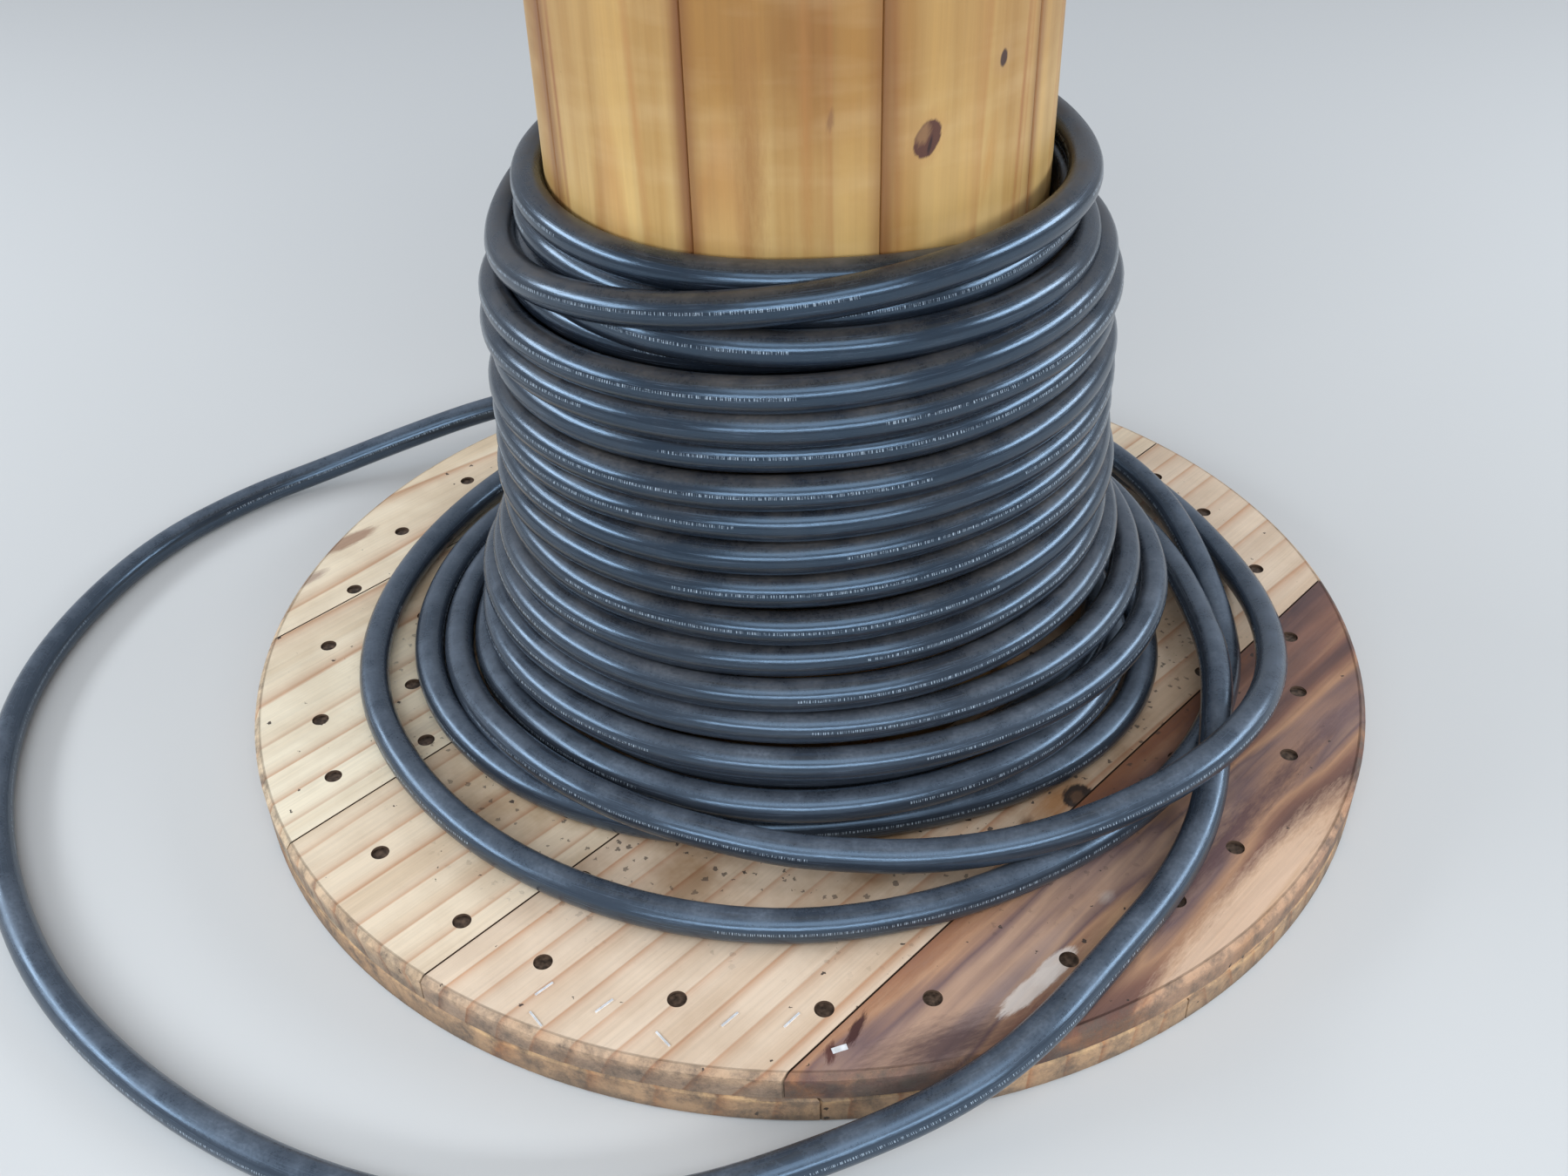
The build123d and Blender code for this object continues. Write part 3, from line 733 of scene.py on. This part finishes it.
def metalMaterial(name):
    tint, rough, metallic, uneven = metals[name]
    material, tree, shader = newMaterial(name)
    noise = addNoise(tree, objectPlace(tree), 300.0, 4.0)["Fac"]
    shade = addRamp(tree, noise, [(0.36, (1 - uneven,)), (0.52, (1,)), (0.66, (1 + uneven,))])
    connect(tree, shader, Base_Color=addMix(tree, 1.0, tint, shade, "MULTIPLY"),
            Roughness=addRange(tree, noise, 0.0, 1.0, rough - 0.1, rough + 0.12))
    shader.inputs["Metallic"].default_value = metallic
    return material


nailSteel = metalMaterial("nail")
zincSteel = metalMaterial("zinc")
for level in ("lower", "upper"):
    dress(f"{level}_flange_nails", nailSteel)
for number in range(1, 5):
    for node in ("tie_bolt", "tie_nut", "lower_washer", "upper_washer"):
        dress(f"{node}_{number}", zincSteel)

jacket = {
    "black": (0.0100, 0.0135, 0.0200),
    "dustAndReflection": (0.140, 0.118, 0.098),   # brownish dust with a painted reflection of the flange above, on the stack's turns
    "dustTilt": (0.60, 0.95),        # both lie where the skin faces up by more than this
    "hazeAndSkyReflection": (0.145, 0.168, 0.205),   # bluish haze with a painted sky reflection, on the turns that lie on the flange
    "hazeHeight": (0.20, 0.09),
    "skyTint": (0.50, 0.73, 1.0),      # the nylon skin's gloss, tinted blue as a painted sky reflection
    "scuff": (0.16, 0.20, 0.26),
    "paint": (0.46, 0.54, 0.62),
    "printTilt": (0.18, 0.34),       # the row of plain ticks lies where the skin leans back this much
    "groupLength": 0.42,
    "groupShare": 0.62,              # ticks fill this much of a group
    "dustTone": [(0.36, (0.15,)), (0.68, (1,))],
    "grainTone": [(0.34, (0.45,)), (0.62, (1,))],
    "filmTone": [(0.45, (0,)), (0.70, (1,))],
    "scuffTone": [(0.55, (0,)), (0.70, (1,))],
    "wornTone": [(0.40, (0.1,)), (0.55, (0.9,))],
}


def jacketMaterial():
    material, tree, shader = newMaterial("cableJacket")
    along = addNode(tree, "ShaderNodeUVMap", uv_map="lengthwise").outputs["UV"]
    where = objectPlace(tree)
    up = facingUp(tree)
    patch = addNoise(tree, where, 30.0, 6.0, 0.65)["Fac"]
    fine = addNoise(tree, where, 520.0, 4.0, 0.7)["Fac"]
    scuff = addNoise(tree, stretch(tree, along, (26, 1100, 0)), 1.0, 4.0, 0.7)["Fac"]
    # Upward faces: dust, with a painted brown reflection of the flange above
    dustMask = addRamp(tree, patch, jacket["dustTone"])
    dustAndReflection = times(tree, dustMask, addRange(tree, up, *jacket["dustTilt"]))
    dustAndReflection = times(tree, dustAndReflection, addRamp(tree, fine, jacket["grainTone"]))
    # Low turns: a bluish film, partly a painted sky reflection
    lowDown = addRange(tree, split(tree, where)["Z"], *jacket["hazeHeight"])
    filmAndReflection = times(tree, addRamp(tree, patch, jacket["filmTone"]), 0.06)
    filmAndReflection = plus(tree, filmAndReflection, times(tree, lowDown, 0.12))
    coat = addMix(tree, lowDown, jacket["dustAndReflection"], jacket["hazeAndSkyReflection"])
    colour = addMix(tree, plus(tree, times(tree, dustAndReflection, 0.62), filmAndReflection), jacket["black"], coat)
    scuffMask = addRamp(tree, scuff, jacket["scuffTone"])
    colour = addMix(tree, times(tree, scuffMask, 0.20), colour, jacket["scuff"])
    # Plain ticks in loose groups, where the real jacket is printed
    least, most = jacket["printTilt"]
    inBand = times(tree, addMath(tree, "GREATER_THAN", up, least), addMath(tree, "LESS_THAN", up, most))
    bars = addNoise(tree, stretch(tree, along, (1300, 0, 0)), 1.0, 1.0)["Fac"]
    tick = addMath(tree, "GREATER_THAN", bars, 0.53)
    group = addMath(tree, "DIVIDE", split(tree, along)["X"], jacket["groupLength"])
    inGroup = addMath(tree, "LESS_THAN", addMath(tree, "FRACT", group), jacket["groupShare"])
    ticks = times(tree, times(tree, tick, inGroup), inBand)
    worn = times(tree, ticks, addRamp(tree, fine, jacket["wornTone"]))
    colour = addMix(tree, times(tree, worn, 0.8), colour, jacket["paint"])
    specks = placeGroup(tree, speckGroup, where, Scale=150.0, Share=0.07)["Mask"]
    colour = addMix(tree, times(tree, specks, 0.3), colour, jacket["paint"])
    dull = plus(tree, dustAndReflection, times(tree, scuffMask, 0.5), clamp=True)
    relief = plus(tree, scuff, times(tree, patch, 3.0))
    connect(tree, shader, Base_Color=colour, Roughness=addRange(tree, dull, 0.0, 1.0, 0.20, 0.55),
            Normal=addBump(tree, relief, 0.16, 0.0003))
    # Gloss tinted blue: a painted sky reflection
    shader.inputs["Specular Tint"].default_value = (*jacket["skyTint"], 1)
    shader.inputs["Specular IOR Level"].default_value = 1.0
    return material


cableTube.data.materials.append(jacketMaterial())
print("cable dressed")

# Staples left in the boards at the front: place, and the way each one lies in degrees from +X
staples = {
    "length": 0.0120,
    "wire": 0.0011,
    "sunk": 0.0001,
    "at": [(-.146, -.322, 44), (-.148, -.342, -52), (-.112, -.334, 44), (-.079, -.356, -50),
           (-.044, -.344, 46), (-.011, -.345, 48)],
}
# A torn strip of sheet metal, left standing at the board's end
chip = {"place": (0.014, -0.364), "turn": 20, "size": (0.0085, 0.0040, 0.0004), "lean": 14}


def boxCorners(x, y, turn, size, lean=0):
    base = Vector((x, y, flangeTop - staples["sunk"]))
    way = Matrix.Rotation(math.radians(turn), 3, "Z") @ Matrix.Rotation(math.radians(lean), 3, "X")
    return [base + way @ Vector((i * size[0], j * size[1], k * size[2]))
            for i in (-0.5, 0.5) for j in (-0.5, 0.5) for k in (0, 1)]


def joinBoxes(name, boxes):
    verts, faces = [], []
    for corners in boxes:
        first = len(verts)
        verts += corners
        for face in ((0, 1, 3, 2), (4, 6, 7, 5), (0, 4, 5, 1), (2, 3, 7, 6), (0, 2, 6, 4), (1, 5, 7, 3)):
            faces.append([first + k for k in face])
    return newObject(name, verts, faces, smooth=False)


def makeStaples():
    wire = staples["wire"]
    boxes = [boxCorners(x, y, turn, (staples["length"], wire, 0.7 * wire)) for x, y, turn in staples["at"]]
    boxes.append(boxCorners(*chip["place"], chip["turn"], chip["size"], chip["lean"]))
    piece = joinBoxes("staples", boxes)
    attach(piece, "root")
    piece.data.materials.append(metalMaterial("staple"))


makeStaples()
print("staples set")

# Floor, light and world
studio = {
    "floor": (0.62, 0.62, 0.61),
    "floorReach": 6.0,
    "floorRough": 0.9,
    "world": (0.84, 0.89, 0.97),
    "worldStrength": 0.55,
    "lamps": {                       # place, width, height, energy
        "front": ((0.0, -3.2, 1.40), 4.2, 0.50, 62.0),
        "high": ((0.0, -2.0, 2.6), 2.6, 1.2, 30.0),
        "left": ((-2.7, 0.0, 1.3), 2.4, 0.5, 44.0),
        "right": ((2.7, 0.0, 1.3), 2.4, 0.5, 44.0),
    },
    "aim": (0, 0, 0.25),
    "tint": (0.86, 0.93, 1.0),
}


def makeFloor():
    reach = studio["floorReach"]
    verts = [(-reach, -reach, 0), (reach, -reach, 0), (reach, reach, 0), (-reach, reach, 0)]
    floor = newObject("floor", verts, [(0, 1, 2, 3)], smooth=False)
    material, _, shader = newMaterial("floor")
    shader.inputs["Base Color"].default_value = (*studio["floor"], 1)
    shader.inputs["Roughness"].default_value = studio["floorRough"]
    floor.data.materials.append(material)


def makeLamp(name):
    place, width, height, energy = studio["lamps"][name]
    data = bpy.data.lights.new(name, "AREA")
    data.shape = "RECTANGLE"
    data.size = width
    data.size_y = height
    data.energy = energy
    data.color = studio["tint"]
    lamp = bpy.data.objects.new(name, data)
    lamp.location = place
    aim = Vector(studio["aim"]) - lamp.location
    lamp.rotation_euler = aim.to_track_quat("-Z", "Y").to_euler()
    bpy.context.scene.collection.objects.link(lamp)


def makeWorld():
    world = bpy.data.worlds.new("studio")
    world.use_nodes = True
    background = world.node_tree.nodes["Background"]
    background.inputs["Color"].default_value = (*studio["world"], 1)
    background.inputs["Strength"].default_value = studio["worldStrength"]
    bpy.context.scene.world = world


makeFloor()
for name in studio["lamps"]:
    makeLamp(name)
makeWorld()
bpy.context.scene.view_settings.view_transform = "Standard"
